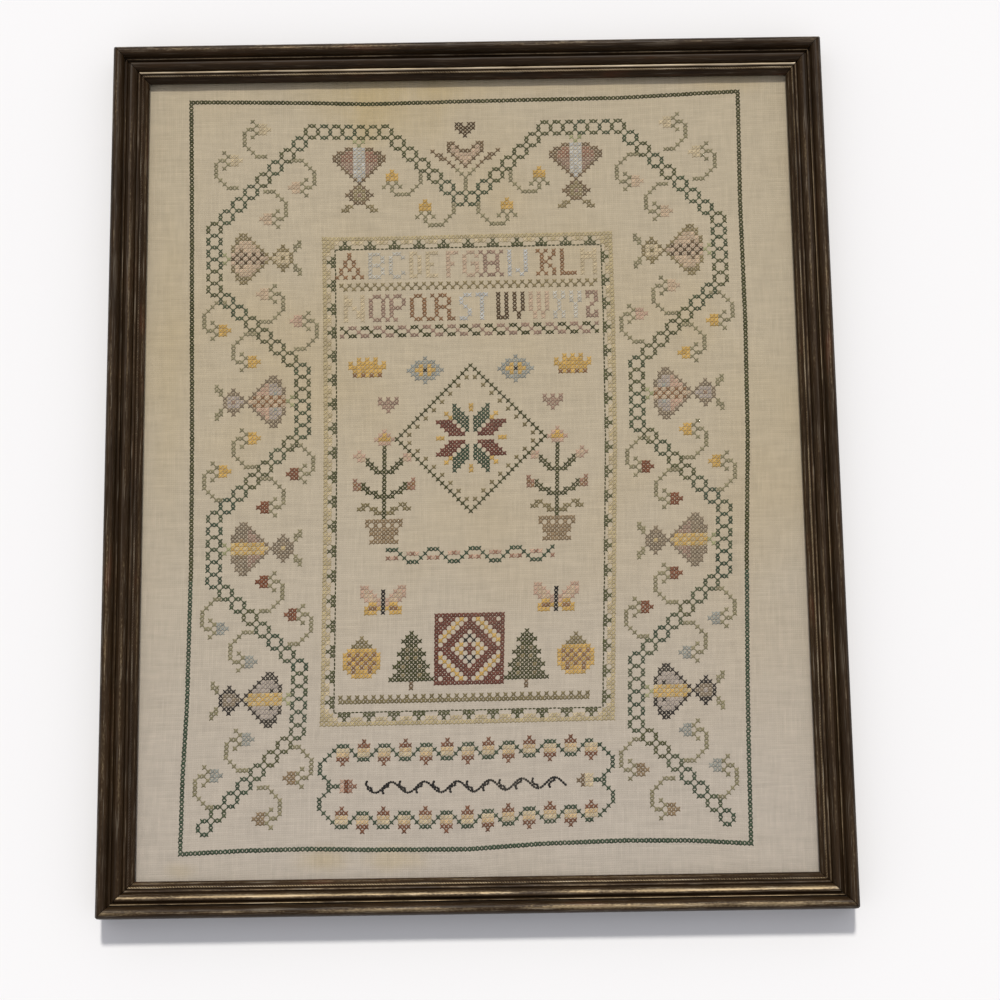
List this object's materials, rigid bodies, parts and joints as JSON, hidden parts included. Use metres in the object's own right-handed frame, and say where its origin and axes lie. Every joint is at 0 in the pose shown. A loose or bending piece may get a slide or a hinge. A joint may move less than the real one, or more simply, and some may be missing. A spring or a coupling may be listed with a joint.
{
  "type": "framed cross stitch sampler with its picture frame",
  "caption": "Cross stitched linen sampler with alphabet and flower borders, under glass in a dark reeded wooden frame, lying on its back.",
  "frame": {"origin": "middle of the flat back of the wooden frame, on the surface that it lies on", "axes": "+Z out of the picture's face, +Y towards the picture's top edge, +X towards its right edge"},
  "size_m": [0.412, 0.498, 0.021],
  "materials": {
    "moulding": "dark stained wood, bronze rubbed on the ridges",
    "glazing": "clear thin picture glass",
    "linen": "unbleached evenweave linen, aged",
    "floss": "stranded embroidery thread in many faded colours",
    "board": "plain brown backing board"
  },
  "bodies": {
    "root": {"rail_top": "moulding", "rail_bottom": "moulding", "rail_left": "moulding", "rail_right": "moulding", "glass_pane": "glazing", "sampler_cloth": "linen", "backing_board": "board"}
  },
  "joints": []
}
